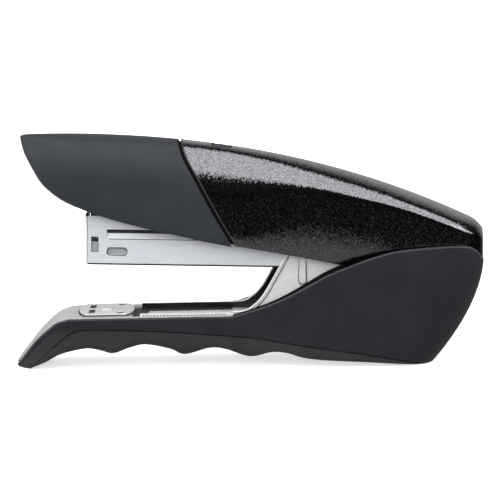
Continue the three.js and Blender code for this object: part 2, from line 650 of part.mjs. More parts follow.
const arm = new THREE.Group();
addPart(arm, 'arm_frame', armFrame(), satinSteel);
addPart(arm, 'driver_blade', driverBlade(), springSteel);
RIVET_YS.forEach((y, i) => {
  const top = webZ(RIVET_ROW_X) + 0.6 + BLADE_T;
  const rivet = lathe([
    [0, -2.9], [1.9, -2.9], [1.9, -2.5], [1, -2.5], [1, 0], [1.9, 0], [1.7, 0.6], [0, 0.8],
  ], 20);
  addPart(arm, `driver_rivet_${i + 1}`, rivet.translate([RIVET_ROW_X, y, top]), springSteel);
});
addPart(arm, 'nose_cover', noseCover(), softTouch);
addPart(arm, 'rear_cover', rearCover(), sparkleGloss);
COVER_SCREWS.forEach(([name, x]) => {
  const one = addPart(arm, name, screw(0, 7, 2.4), springSteel);
  one.position.set(x, 0, webZ(x) - WEB_T - 0.45);
});
addPart(arm, 'release_button', releaseButton(), softTouch);
const buttonSpringLow = webZ(BUTTON_X) + 0.5;
addPart(arm, 'button_spring', coil(2.6, 0.3, BUTTON_TOP - 4.5 - buttonSpringLow, 4), springSteel)
  .position.set(BUTTON_X, 0, buttonSpringLow);

const group = new THREE.Group();
group.add(base, magazine, arm);
export default group;
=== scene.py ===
"""Looks of the hand stapler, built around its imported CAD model."""
import json
import math

import bmesh
import bpy
import numpy as np
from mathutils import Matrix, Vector


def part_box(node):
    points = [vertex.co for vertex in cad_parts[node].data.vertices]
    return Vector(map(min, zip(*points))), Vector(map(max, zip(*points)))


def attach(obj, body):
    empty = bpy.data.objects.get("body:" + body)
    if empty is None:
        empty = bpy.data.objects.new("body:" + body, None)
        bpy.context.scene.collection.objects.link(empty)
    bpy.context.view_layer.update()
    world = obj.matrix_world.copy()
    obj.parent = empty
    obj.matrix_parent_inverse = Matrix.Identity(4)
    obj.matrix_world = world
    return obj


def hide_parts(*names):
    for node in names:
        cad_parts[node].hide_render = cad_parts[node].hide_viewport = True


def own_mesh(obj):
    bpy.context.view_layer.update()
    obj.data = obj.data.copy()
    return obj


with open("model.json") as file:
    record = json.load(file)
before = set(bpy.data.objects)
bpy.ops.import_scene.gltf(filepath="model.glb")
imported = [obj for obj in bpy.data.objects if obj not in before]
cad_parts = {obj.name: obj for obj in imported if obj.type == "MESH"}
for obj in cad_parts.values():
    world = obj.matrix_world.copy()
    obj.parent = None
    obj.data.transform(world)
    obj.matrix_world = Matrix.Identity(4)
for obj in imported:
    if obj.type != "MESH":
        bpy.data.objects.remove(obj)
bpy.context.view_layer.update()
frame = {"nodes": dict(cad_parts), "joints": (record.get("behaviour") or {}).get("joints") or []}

MM = 0.001


def mm_box(node):
    """Lowest and highest corner of a CAD node, in millimetres."""
    low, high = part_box(node)
    return np.array(low) / MM, np.array(high) / MM


def find_joint(name):
    """The frame's entry for a joint."""
    return next(j for j in frame["joints"] if j["name"] == name)


# ---------- driving dimensions, in millimetres ----------
# covers: ends, where they narrow, widths, crown rounding and section exponents
NOSE_TIP_X = -77.0
REAR_X = mm_box("rear_cover")[1][0]
COVER_REAR_Z = mm_box("rear_cover")[0][2]
NOSE_TAPER_X, REAR_TAPER_X = -50, 64
COVER_HALF, COVER_FLARE, COVER_FLARE_LENGTH = 12.2, 1.7, 95
HEEL_ROUND_X, HEEL_ROUND, HEEL_DROP = 75.3, 4.1, 3.2
NOSE_ROUND_X, NOSE_ROUND, NOSE_DROP = -73.8, 2.5, 0.7
SECTION_NOSE, SECTION_REAR = (2.6, 2.2), (2.0, 2.0)
COVER_STEP_X = 30.2
TUCK_RATE = 0.0072
COVER_WALL = 1.6
SEAM_GAP = 1.2
# lower handle: arm, bucket, heel, grip and trim
BASE_TIP_X = mm_box("base_shell")[0][0]
BASE_HALF = mm_box("base_shell")[1][1]
BASE_REAR = 79.4
ARM_TOP = mm_box("base_trim")[1][2]
ARM_END_X = -8
ARM_HALF = 11.4
BUCKET_SWELL, BUCKET_SIDE, TIP_TAPER_X, HEEL_TAPER = 38, 30, -56, 21
HEEL_UNDERCUT, UNDERCUT_TOP = 16.9, 36
SHELL_WALL = 1.5
PARTING_FRONT, PARTING_REAR = -75, 58.5
GRIP_FRONT = -74.9
RIM_DROP = 0.15
RIM_T = 0.7
TRIM_T = 1.2
# magazine, in its own frame: X back from the front plate, Z up from the underside
MAG_HALF = mm_box("magazine_channel")[1][1]
MAG_WALL = 0.55
MAG_TILT = math.radians(2)
MAG_FRONT = np.array([mm_box("drawer_frame")[0][0], 0, 35.7])
MAG_HEIGHT = 16.8
MAG_AXIS = 4.0
GROOVE_FRONT, GROOVE_REAR, GROOVE_LOW, GROOVE_TALL, GROOVE_DEEP = 7.0, 57, 9.0, 3.3, 0.85
LUG_R, PIVOT_BORE = 5.6, 2.3
# anvil plate, staples and button
ANVIL_BOW, ANVIL_CORNER = 2.2, 0.8
STAPLE_PITCH, STAPLE_COUNT = 0.5, 60
BUTTON_LOW, BUTTON_HIGH = mm_box("release_button")
BUTTON_X = (BUTTON_LOW[0] + BUTTON_HIGH[0]) / 2


# ---------- curves shared by the free-form pieces ----------
def ease(t):
    """0 to 1 with a level start and end."""
    t = np.clip(t, 0, 1)
    return t * t * (3 - 2 * t)


def rounded(u, p, q):
    """Falls from 1 at u 0 to 0 at u 1, along a rounded corner."""
    return np.maximum(1 - np.clip(u, 0, 1) ** p, 0) ** q


def bezier(points, count):
    """Cubic Bezier curve of four points."""
    t = np.linspace(0, 1, count)[:, None]
    p0, p1, p2, p3 = np.array(points, float)
    return (1 - t) ** 3 * p0 + 3 * (1 - t) ** 2 * t * p1 + 3 * (1 - t) * t ** 2 * p2 + t ** 3 * p3


def spline(points, per_span=12):
    """Catmull-Rom curve through points."""
    p = np.array(points, float)
    p = np.vstack([2 * p[0] - p[1], p, 2 * p[-1] - p[-2]])
    rows = []
    for i in range(1, len(p) - 2):
        for t in np.linspace(0, 1, per_span, endpoint=False):
            a, b, c, d = p[i - 1], p[i], p[i + 1], p[i + 2]
            rows.append(0.5 * (2 * b + (c - a) * t + (2 * a - 5 * b + 4 * c - d) * t ** 2
                               + (3 * b - a - 3 * c + d) * t ** 3))
    rows.append(p[-2])
    return np.array(rows)


def spread(count):
    """0 to 1, closer together at both ends."""
    return 0.5 * (1 - np.cos(np.pi * np.linspace(0, 1, count)))


TOP = bezier([(-76, 79.4), (3.6, 79.8), (47, 61.6), (78.5, 46.7)], 400)
SEAM = spline([
    (-24.2, 79.5), (-23.3, 77.7), (-21.1, 71.6), (-17.1, 64.1), (-11.4, 53.1), (-5.8, 43), (-5, 41.6)])
NOSE_FRONT = spline([
    (-76.7, 80.6), (-76.3, 78.6), (-75.0, 74), (-72.1, 68.7), (-69.4, 64.4), (-66.8, 61.8), (-62.8, 58.8),
    (-57.5, 56.1)])
NOSE_LOW = spline([
    (-57.5, 56.1), (-53.5, 54.4), (-49.6, 53), (-41.6, 50.5), (-33, 48.1), (-23.1, 45.8), (-15.1, 43.8),
    (-5, 41.7)])
REAR_LOW = spline([(-5, 42.1), (4.2, 40.4), (19.5, 37.3), (COVER_STEP_X, COVER_REAR_Z + 0.1)])
SHELL_RIM = spline([
    (ARM_END_X, 17.75), (-5.5, 18), (1.7, 20.2), (7.5, 22.3), (13.9, 25.4), (20.1, 29), (26, 32.3),
    (33.4, 35.3), (41.8, 38.2), (50.1, 40.1), (64, 41.2), (72, 40.9), (75.4, 39.4), (77.3, 37), (78.4, 34.5)])
PARTING = spline([
    (PARTING_FRONT, 0.2), (-70.5, 4.6), (-65, 9.8), (-60.2, 13.2), (-54.1, 14.1), (-34, 13.3),
    (-17.2, 12), (0, 10.4), (16.4, 8), (33.3, 5.4), (50.1, 2.3), (PARTING_REAR, 0.5)])
WAVES = spline([
    (GRIP_FRONT, 0), (-74, 0.7), (-69.9, 2.4), (-64.7, 5.1), (-56.2, 7), (-51.2, 6.3), (-46.8, 5.2),
    (-41, 7.1), (-35.6, 8.1), (-27.5, 6.4), (-22.5, 4.4), (-14, 6.5), (-8.9, 6), (-0.5, 3.3), (7, 4.9),
    (12, 4.7), (20.1, 2.6), (40.5, 1.3), (PARTING_REAR, 0)])
ARM_LINE = spline([
    (-80.4, 1.0), (-79, 2.9), (-72.2, 10.8), (-66.3, 16), (-62.6, 17.5), (-59, ARM_TOP), (-40, ARM_TOP)])


def follow(curve, x):
    """Height of a left-to-right curve at x."""
    return np.interp(x, curve[:, 0], curve[:, 1])


def follow_z(curve, z):
    """X of a curve that falls or rises steadily, at height z."""
    order = np.argsort(curve[:, 1])
    return np.interp(z, curve[order, 1], curve[order, 0])


def top_z(x):
    """Height of the covers' crown at x: the top line, rounded off at the heel and the nose."""
    heel = np.clip(1 - ((x - HEEL_ROUND_X) / HEEL_ROUND) ** 2, 0, 1)
    fall = HEEL_DROP * (1 - np.sqrt(heel)) * (x > HEEL_ROUND_X)
    nose = np.clip((NOSE_ROUND_X - x) / NOSE_ROUND, 0, 1)
    return follow(TOP, x) - fall - NOSE_DROP * (1 - np.sqrt(1 - nose ** 2))


def cover_half(x):
    """Half the width of the covers at x."""
    nose = rounded((NOSE_TAPER_X - x) / (NOSE_TAPER_X - NOSE_TIP_X), 2, 0.55)
    rear = rounded((x - REAR_TAPER_X) / (REAR_X - REAR_TAPER_X), 2.5, 1 / 2.5)
    return (COVER_HALF + COVER_FLARE * ease((x - NOSE_TAPER_X) / COVER_FLARE_LENGTH)) * nose * rear


def base_rear(z):
    """X of the lower handle's rear at height z; it runs in towards the floor."""
    return BASE_REAR - HEEL_UNDERCUT * np.maximum(1 - z / UNDERCUT_TOP, 0) ** 1.8


def base_half(x, z, inset=0.0):
    """Half the width of the lower handle: a slim arm that swells into the bucket."""
    ramp = ease((x - ARM_END_X) / BUCKET_SWELL)
    level = np.clip(z / BUCKET_SIDE, 0, 1) ** 0.6
    low = ARM_HALF - 0.8 + 2.8 * ramp
    high = ARM_HALF + (BASE_HALF - ARM_HALF) * ramp
    rear = base_rear(z) - 1.2 * inset
    tongue = rounded((TIP_TAPER_X - x) / (TIP_TAPER_X - BASE_TIP_X - inset), 2.6, 0.5)
    heel = rounded((x - (rear - HEEL_TAPER)) / HEEL_TAPER, 3, 1 / 3)
    return (low + (high - low) * level - inset) * tongue * heel


# how far below the crown a cover's section turns down, and how far up from its lower edge it tucks in
SHOULDER = spline([
    (-90, 14), (-50, 14), (-28, 14.4), (-22, 16.2), (-16, 17.3), (-8, 17), (-2, 15.4), (18, 8.9), (38, 6.6),
    (57, 5), (90, 4.2)])
TUCK = spline([
    (-90, 8), (-54, 8), (-24, 4), (-2, 4.5), (10, 9.5), (20, 13), (38, 12), (48, 7), (57, 3), (90, 2)])


# ---------- mesh helpers ----------
def link(name, data):
    """A new object in the scene for a mesh, a light or a camera."""
    obj = bpy.data.objects.new(name, data)
    bpy.context.scene.collection.objects.link(obj)
    return obj


def linked_mesh(name, points, faces):
    """An object in the scene with a mesh from points in millimetres."""
    mesh = bpy.data.meshes.new(name)
    mesh.from_pydata((np.array(points, float) * MM).tolist(), [], faces)
    mesh.validate()
    return link(name, mesh)


def new_object(name, points, faces, material, body, node=None):
    """A visible piece with its material, riding on its body; it may replace a CAD node."""
    obj = linked_mesh(name, points, faces)
    obj.data.materials.append(material)
    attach(obj, body)
    if node:
        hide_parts(node)
    return obj


def grid_faces(rows, cols, start=0, loop=False):
    """Quads of a grid of points stored row by row; loop joins the last column to the first."""
    faces = []
    for i in range(rows - 1):
        for j in range(cols if loop else cols - 1):
            k = (j + 1) % cols
            a, b = start + i * cols + j, start + i * cols + k
            faces.append((a, b, b + cols, a + cols))
    return faces


def tube_faces(rows, cols):
    """Faces of a tube stored ring by ring, with a face across each end."""
    last = rows * cols - 1
    return grid_faces(rows, cols, 0, True) + [tuple(range(cols)), tuple(range(last, last - cols, -1))]


def block_faces(start=0):
    """Faces of a box stored as its lower and its upper ring of four points."""
    faces = [(start, start + 1, start + 2, start + 3), (start + 7, start + 6, start + 5, start + 4)]
    for i in range(4):
        k = (i + 1) % 4
        faces.append((start + i, start + k, start + k + 4, start + i + 4))
    return faces


def modifier(obj, kind, **settings):
    m = obj.modifiers.new(kind.lower(), kind)
    for key, value in settings.items():
        setattr(m, key, value)


def settle(obj, sharp=35):
    """Applies the object's modifiers, then shades it smooth except at sharp edges."""
    graph = bpy.context.evaluated_depsgraph_get()
    old = obj.data
    mesh = bpy.data.meshes.new_from_object(obj.evaluated_get(graph))
    obj.modifiers.clear()
    obj.data = mesh
    mesh.name = obj.name
    bpy.data.meshes.remove(old)
    shade(obj, sharp)


def shade(obj, sharp=35):
    """Smooth shading, except at edges sharper than the angle."""
    obj.data.shade_smooth()
    obj.data.set_sharp_from_angle(angle=math.radians(sharp))


def face_out(obj, sharp=None):
    """Merges doubled points, turns the faces outwards, and shades the mesh if given an angle."""
    b = bmesh.new()
    b.from_mesh(obj.data)
    bmesh.ops.remove_doubles(b, verts=b.verts, dist=0.004 * MM)
    bmesh.ops.recalc_face_normals(b, faces=b.faces)
    b.to_mesh(obj.data)
    b.free()
    if sharp:
        shade(obj, sharp)


def thicken(obj, thickness, offset=-1, **settings):
    """Gives a sheet its thickness, behind its faces unless the offset says otherwise."""
    modifier(obj, "SOLIDIFY", thickness=thickness * MM, offset=offset, **settings)
    settle(obj)


def moulded_wall(obj, thickness, clamp, edge):
    """Gives a moulding's skin its wall, and rounds its edges."""
    face_out(obj)
    thicken(obj, thickness, use_even_offset=True, thickness_clamp=clamp)
    round_edges(obj, edge)
    settle(obj, 30)


def round_edges(obj, width, segments=3, angle=35):
    modifier(obj, "BEVEL", width=width * MM, segments=segments, limit_method="ANGLE",
             angle_limit=math.radians(angle), use_clamp_overlap=True)


def bead(name, path, radius, helper, material, body):
    """Round lip of the given radius swept along a path; helper is a direction the path never takes."""
    path = np.array(path, float)
    along = np.gradient(path, axis=0)
    along /= np.linalg.norm(along, axis=1)[:, None]
    side = np.cross(along, helper)
    side /= np.linalg.norm(side, axis=1)[:, None]
    up = np.cross(along, side)
    arc = np.linspace(0, 2 * math.pi, 12, endpoint=False)
    points = [p + radius * (a * math.cos(t) + b * math.sin(t))
              for p, a, b in zip(path, side, up) for t in arc]
    obj = new_object(name, points, tube_faces(len(path), len(arc)), material, body, None)
    face_out(obj, 60)


def paint(obj, material, test):
    """Gives the faces that pass a test of their centre and normal, in millimetres, another finish."""
    obj.data.materials.append(material)
    spot = len(obj.data.materials) - 1
    place = obj.matrix_world
    turn = place.to_3x3()
    for face in obj.data.polygons:
        if test(place @ face.center / MM, turn @ face.normal):
            face.material_index = spot


def prism(name, outline, low, high, plane="xy"):
    """A closed prism of an outline, from low to high along the third axis."""
    n = len(outline)
    points = [(a, b, h) if plane == "xy" else (a, h, b) for h in (low, high) for a, b in outline]
    faces = [tuple(range(n)), tuple(range(2 * n - 1, n - 1, -1))]
    faces += [(i, (i + 1) % n, (i + 1) % n + n, i + n) for i in range(n)]
    obj = linked_mesh(name, points, faces)
    face_out(obj)
    return obj


def cut(obj, tool):
    """Cuts a tool's shape out of an object, and removes the tool."""
    modifier(obj, "BOOLEAN", operation="DIFFERENCE", object=tool, solver="EXACT")
    settle(obj)
    bpy.data.objects.remove(tool)


def rect(x0, x1, z0, z1):
    """Outline of a rectangle."""
    return [(x0, z0), (x1, z0), (x1, z1), (x0, z1)]


def arc_points(x, z, r, start, end, count, closed=False):
    """Points along an arc between two angles in radians; a closed arc leaves out its last point."""
    angles = np.linspace(start, end, count, endpoint=not closed)
    return [(x + r * math.cos(a), z + r * math.sin(a)) for a in angles]


def disc(x, z, r, count=32):
    """Outline of a circle."""
    return arc_points(x, z, r, 0, 2 * math.pi, count, True)


# ---------- materials ----------
class Nodes:
    """A node tree builder: nodes are added by type, and sockets linked by name."""

    def __init__(self, name):
        self.material = bpy.data.materials.new(name)
        self.material.use_nodes = True
        self.tree = self.material.node_tree
        self.shader = self.tree.nodes["Principled BSDF"]
        self.coords = self.tree.nodes.new("ShaderNodeTexCoord").outputs["Object"]

    def add(self, kind, inputs=None, **settings):
        node = self.tree.nodes.new("ShaderNode" + kind)
        for key, value in settings.items():
            setattr(node, key, value)
        for key, value in (inputs or {}).items():
            if isinstance(value, bpy.types.NodeSocket):
                self.tree.links.new(value, node.inputs[key])
            else:
                node.inputs[key].default_value = value
        return node

    def scaled(self, factor):
        """Object coordinates stretched by a factor along each axis."""
        return self.add("Mapping", {"Vector": self.coords, "Scale": factor}).outputs["Vector"]

    def noise(self, factor, detail=3.0, rough=0.5):
        return self.add("TexNoise", {
            "Vector": self.scaled(factor), "Scale": 1.0, "Detail": detail, "Roughness": rough}).outputs["Fac"]

    def ramp(self, value, low, high, out_low, out_high):
        """A value mapped from low..high to out_low..out_high."""
        return self.add("MapRange", {
            "Value": value, "From Min": low, "From Max": high, "To Min": out_low, "To Max": out_high},
        ).outputs["Result"]

    def mix(self, value, a, b):
        """Colour between a and b; a mix node has its colours at inputs 6 and 7 and output 2."""
        node = self.add("Mix", data_type="RGBA")
        self.tree.links.new(value, node.inputs[0])
        for socket, colour in ((node.inputs[6], a), (node.inputs[7], b)):
            if isinstance(colour, bpy.types.NodeSocket):
                self.tree.links.new(colour, socket)
            else:
                socket.default_value = (*colour, 1)
        return node.outputs[2]

    def bump(self, height, distance, strength=1.0):
        node = self.add("Bump", {"Height": height, "Distance": distance * MM, "Strength": strength})
        self.set("Normal", node.outputs["Normal"])

    def set(self, socket, value):
        """Sets or links one of the shader's inputs."""
        if isinstance(value, bpy.types.NodeSocket):
            self.tree.links.new(value, self.shader.inputs[socket])
        else:
            self.shader.inputs[socket].default_value = value


def moulded(name, dark, light, rough, grain, depth, sheen=0.0, specular=0.5):
    """Matt plastic or rubber: fine moulded grain, and faint large-scale variation in colour and roughness."""
    m = Nodes(name)
    m.set("Base Color", m.mix(m.ramp(m.noise((90, 90, 90), 4), 0.35, 0.65, 0, 1), dark, light))
    m.set("Roughness", m.ramp(m.noise((240, 240, 240), 5), 0.3, 0.7, rough - 0.05, rough + 0.05))
    m.set("Specular IOR Level", specular)
    m.set("Sheen Weight", sheen)
    m.set("Sheen Roughness", 0.6)
    m.bump(m.noise((grain, grain, grain), 2, 0.6), depth)
    return m.material


def metal(name, dark, light, rough, streak, depth, variation=0.06, metallic=1.0):
    """Metal with drawn or brushed streaks: streak is the noise's scale along X, Y and Z."""
    m = Nodes(name)
    lines = m.noise(streak, 5, 0.65)
    m.set("Base Color", m.mix(m.ramp(lines, 0.3, 0.7, 0, 1), dark, light))
    m.set("Metallic", metallic)
    patches = m.noise((70, 70, 70), 3)
    m.set("Roughness", m.ramp(patches, 0.3, 0.7, rough - variation / 2, rough + variation / 2))
    m.bump(lines, depth)
    return m.material


def sparkle(name):
    """Gloss black with metal flakes under a clear coat."""
    m = Nodes(name)
    cells = m.add("TexVoronoi", {"Vector": m.coords, "Scale": 2800.0, "Randomness": 1.0})
    tone = m.add("SeparateColor", {"Color": cells.outputs["Color"]})
    flake = m.ramp(tone.outputs["Red"], 0.1, 0.9, 0, 1)
    m.set("Base Color", m.mix(flake, (0.24, 0.24, 0.26), (0.50, 0.495, 0.53)))
    m.set("Metallic", 1.0)
    m.set("Roughness", m.ramp(tone.outputs["Green"], 0, 1, 0.09, 0.16))
    m.set("Specular IOR Level", 0.4)
    m.set("Coat Weight", 0.5)
    m.set("Coat Roughness", 0.04)
    m.set("Coat IOR", 1.5)
    tilt = m.add("VectorMath", {0: cells.outputs["Color"], 1: (0.5, 0.5, 0.5)}, operation="SUBTRACT")
    scaled = m.add("VectorMath", {0: tilt.outputs[0], "Scale": 0.13}, operation="SCALE")
    normal = m.add("NewGeometry").outputs["Normal"]
    mixed = m.add("VectorMath", {0: normal, 1: scaled.outputs[0]}, operation="ADD")
    m.set("Normal", m.add("VectorMath", {0: mixed.outputs[0]}, operation="NORMALIZE").outputs[0])
    return m.material


SOFT_TOUCH = moulded("soft_touch", (0.029, 0.033, 0.0395), (0.034, 0.038, 0.045),
                     0.46, 2600, 0.012, 0.0, 0.35)
SHELL_MATT = moulded("shell_matt", (0.0135, 0.0155, 0.019), (0.017, 0.019, 0.023),
                     0.48, 2300, 0.014, 0.05, 0.4)
# Lighter copies of the matt plastics for the rim beads: painted highlight along the nose's front edge and the
# shell's rim.
SOFT_EDGE_HIGHLIGHT = moulded("soft_touch_edge_highlight", (0.050, 0.054, 0.060), (0.058, 0.062, 0.069),
                    0.34, 2600, 0.008, 0.10)
SHELL_EDGE_HIGHLIGHT = moulded("shell_edge_highlight", (0.045, 0.050, 0.060), (0.055, 0.060, 0.070), 0.28, 2300, 0.006, 0.1)
GLOSS_EDGE = moulded("gloss_edge", (0.030, 0.030, 0.034), (0.040, 0.040, 0.044), 0.22, 2300, 0.004, 0.0)
GRIP = moulded("grip_rubber", (0.018, 0.019, 0.021), (0.028, 0.029, 0.031), 0.72, 1700, 0.05, 0.12, 0.3)
PUSHER = moulded("pusher_plastic", (0.012, 0.012, 0.013), (0.018, 0.018, 0.019), 0.4, 1500, 0.01)
# Near-black for the seam lip and the parting line, and also for painted shade: the strip between the chassis
# ears and the shell's rim, and the ring under the anvil plate.
SEAM_AND_SHADE_BLACK = moulded("seam_and_shade_black", (0.004, 0.004, 0.004), (0.006, 0.006, 0.006),
                     0.7, 900, 0.01, 0.0, 0.2)
SPARKLE = sparkle("sparkle_gloss")
SATIN = metal("satin_steel", (0.74, 0.74, 0.725), (0.84, 0.84, 0.82),
              0.36, (420, 2600, 2600), 0.003, 0.06, 0.5)
CHASSIS = metal("chassis_steel", (0.84, 0.84, 0.83), (0.94, 0.94, 0.925),
                0.27, (420, 420, 420), 0.002, 0.06, 0.3)
SHADE = metal("shade_steel", (0.03, 0.03, 0.032), (0.10, 0.10, 0.105),
              0.33, (160, 3000, 3000), 0.002, 0.06, 0.9)
ANVIL = metal("anvil_steel", (0.90, 0.90, 0.89), (0.96, 0.96, 0.95),
              0.26, (500, 3200, 3200), 0.002, 0.06, 0.45)
CHROME = metal("chrome", (0.76, 0.785, 0.84), (0.84, 0.865, 0.92), 0.24, (120, 900, 700),
               0.0006, 0.08, 0.22)
FRAME = metal("frame_steel", (0.93, 0.94, 0.96), (0.98, 0.985, 1.0), 0.3, (900, 900, 900),
              0.0006, 0.06, 0.08)
# Darker steel for the drawer frame behind its front plate: painted shade.
INNER_SHADE = metal("inner_shade_steel", (0.42, 0.44, 0.46), (0.56, 0.58, 0.60),
              0.3, (260, 3400, 1500), 0.0006, 0.06, 0.3)
WIRE = metal("staple_wire", (0.55, 0.56, 0.58), (0.75, 0.76, 0.78), 0.24, (2000, 300, 300), 0.01)
BLADE = metal("blade_steel", (0.40, 0.41, 0.43), (0.55, 0.56, 0.58), 0.30, (3000, 3000, 300), 0.004)
SPRING = metal("spring_steel", (0.36, 0.37, 0.39), (0.50, 0.51, 0.53), 0.28, (1500, 1500, 1500), 0.003)
ZINC = metal("zinc_steel", (0.50, 0.51, 0.52), (0.66, 0.67, 0.68), 0.32, (1200, 1200, 1200), 0.004)


# ---------- covers of the upper handle ----------
def cover_section(x, tau, low):
    """Point of the cover's section at x: tau 0 is the lower edge at height low, tau 1 the crown."""
    half = cover_half(x)
    rise = follow(SHOULDER, x)
    shoulder = top_z(x) - rise
    straight = np.maximum(shoulder - low, 0)
    lift = np.clip((low - shoulder) / rise, 0, 0.999)
    start = np.arcsin(lift ** 1.1)
    curved = (rise + half) * 1.15 * (1 - start / (np.pi / 2))
    share = straight / (straight + curved)
    t = np.where(tau < share, 0, (tau - share) / (1 - share))
    angle = start + t * (np.pi / 2 - start)
    rounder = ease((x + 5) / 35)
    across, upwards = (a + (b - a) * rounder for a, b in zip(SECTION_NOSE, SECTION_REAR))
    y = half * np.clip(np.cos(angle), 0, 1) ** (2 / across)
    z = shoulder + rise * np.sin(angle) ** (2 / upwards)
    below = tau < share
    z = np.where(below, low + straight * tau / np.maximum(share, 1e-6), z)
    reach = follow(TUCK, x)
    tuck = TUCK_RATE / reach * np.maximum(reach - (z - low), 0) ** 2
    return np.where(below, half, y) * (1 - tuck), z


def cover_grid(front_x, rear_x, low_z, rows, half_cols, inset=0.0):
    """Points of a cover's outer face between two end curves, each giving X at a height."""
    s = spread(rows)[:, None]
    tau = np.linspace(0, 1, half_cols)[None, :]
    z = np.full((rows, half_cols), 60.0)
    for _ in range(8):
        x = front_x(z) + (rear_x(z) - front_x(z)) * s
        y, z = cover_section(x, tau, low_z(x))
    z = z - inset * (tau > 0.4)
    y = np.maximum(y - inset, 0)
    near = np.stack([x, -y, z], -1)
    far = np.stack([x, y, z], -1)[:, -2::-1]
    return np.concatenate([near, far], 1)


def seam_x(offset):
    """An end curve for cover_grid: the seam's X at a height, moved by an offset."""
    return lambda z: follow_z(SEAM, z) + offset


def nose_low(x):
    return follow(NOSE_LOW, x)


def nose_cover():
    """Matt front cover, with a bow between its two front edges."""
    grid = cover_grid(lambda z: follow_z(NOSE_FRONT, z), seam_x(-SEAM_GAP / 2), nose_low, 120, 44)
    rows, cols = grid.shape[:2]
    points = grid.reshape(-1, 3)
    faces = grid_faces(rows, cols)
    edge = grid[0, :(cols + 1) // 2]
    across = np.linspace(-1, 1, 25)
    bulge = 1.3 / 12
    bow = [(x - bulge * abs(y) * (1 - t * t), abs(y) * t, z) for x, y, z in edge for t in across]
    faces += grid_faces(len(edge), len(across), len(points))
    obj = new_object("nose_cover_skin", np.vstack([points, bow]), faces, SOFT_TOUCH, "arm",
                     "nose_cover")
    moulded_wall(obj, COVER_WALL, 1.5, 0.4)
    # The nose rim bead is a lighter copy of the soft touch: painted highlight along the front edge.
    bead("nose_rim", grid[0] + [0.22, 0, 0], 0.26, (1, 0.2, 0), SOFT_EDGE_HIGHLIGHT, "arm")


def seam_tongue():
    """Dark lip of the nose cover that reaches under the rear cover, and its rib that fills the joint line."""
    for name, ahead, behind, inset, depth in (("seam_tongue", 3.5, 3.0, COVER_WALL + 0.35, 0.9),
                                              ("seam_rib", 0.5, 0.5, 0.6, 1.6)):
        grid = cover_grid(seam_x(-ahead), seam_x(behind), lambda x: nose_low(x) + 0.8, 8, 40, inset)
        obj = new_object(name, grid.reshape(-1, 3), grid_faces(*grid.shape[:2]), SEAM_AND_SHADE_BLACK, "arm",
                         None)
        face_out(obj)
        thicken(obj, depth)


def rear_cover():
    """Glossy cover from the seam to the heel, with the button's opening."""
    def low(x):
        return np.where(x < COVER_STEP_X, follow(REAR_LOW, x), COVER_REAR_Z)

    grid = cover_grid(seam_x(SEAM_GAP / 2), lambda z: np.full_like(z, REAR_X - 0.003), low, 200, 48)
    obj = new_object("rear_cover_skin", grid.reshape(-1, 3), grid_faces(*grid.shape[:2]), SPARKLE, "arm",
                     "rear_cover")
    moulded_wall(obj, COVER_WALL, 1.5, 0.45)
    bead("cover_rim", grid[0] + [0.28, 0, 0], 0.24, (1, 0.2, 0), GLOSS_EDGE, "arm")
    cut(obj, prism("button_hole", pill(0.25), 60, 90))
    shade(obj, 30)


def pill(grow):
    """Outline of the release button, grown by a margin."""
    half_x, half_y = 3.1, 5.0
    r = half_x + grow
    arc = np.linspace(0, math.pi, 24)
    offset = half_y - half_x
    upper = [(BUTTON_X + r * math.cos(a), offset + r * math.sin(a)) for a in arc]
    lower = [(BUTTON_X - r * math.cos(a), -offset - r * math.sin(a)) for a in arc]
    return upper + lower


def release_button():
    """Pill-shaped button with a dished top and a rolled edge, on its stem."""
    base = BUTTON_HIGH[2] - 4.7
    flange = base + 1.6
    flange_grow, stem_r, sunk = 0.9, 1.6, 0.45
    dish_depth, dish_rings = 0.5, 8
    lip, crown = -0.12, -0.35
    centre = np.array([BUTTON_X, 0])

    def surface(x):
        return top_z(x) - sunk

    points = []
    for grow, height in ((flange_grow, lambda x: np.full_like(x, base)),
                         (flange_grow, lambda x: np.full_like(x, flange)),
                         (0.0, lambda x: np.full_like(x, flange)), (0.0, lambda x: surface(x) - 0.5),
                         (lip, lambda x: surface(x) + lip), (crown, surface)):
        ring = np.array(pill(grow))
        points += [(a, b, z) for (a, b), z in zip(ring, height(ring[:, 0]))]
    for k in range(1, dish_rings + 1):
        share = 1 - k / dish_rings
        ring = centre + (np.array(pill(crown)) - centre) * share
        dish = dish_depth * (1 - share ** 2)
        points += [(a, b, z) for (a, b), z in zip(ring, surface(ring[:, 0]) - dish)]
    count = len(ring)
    start = len(points)
    faces = grid_faces(start // count, count, 0, True)
    stem = disc(BUTTON_X, 0, stem_r)
    points += [(a, b, z) for z in (BUTTON_LOW[2], base) for a, b in stem]
    faces += grid_faces(2, len(stem), start, True)
    faces += [tuple(range(start, start + len(stem))), tuple(range(count))]
    obj = new_object("release_button_cap", points, faces, SOFT_TOUCH, "button",
                     "release_button")
    face_out(obj, 40)


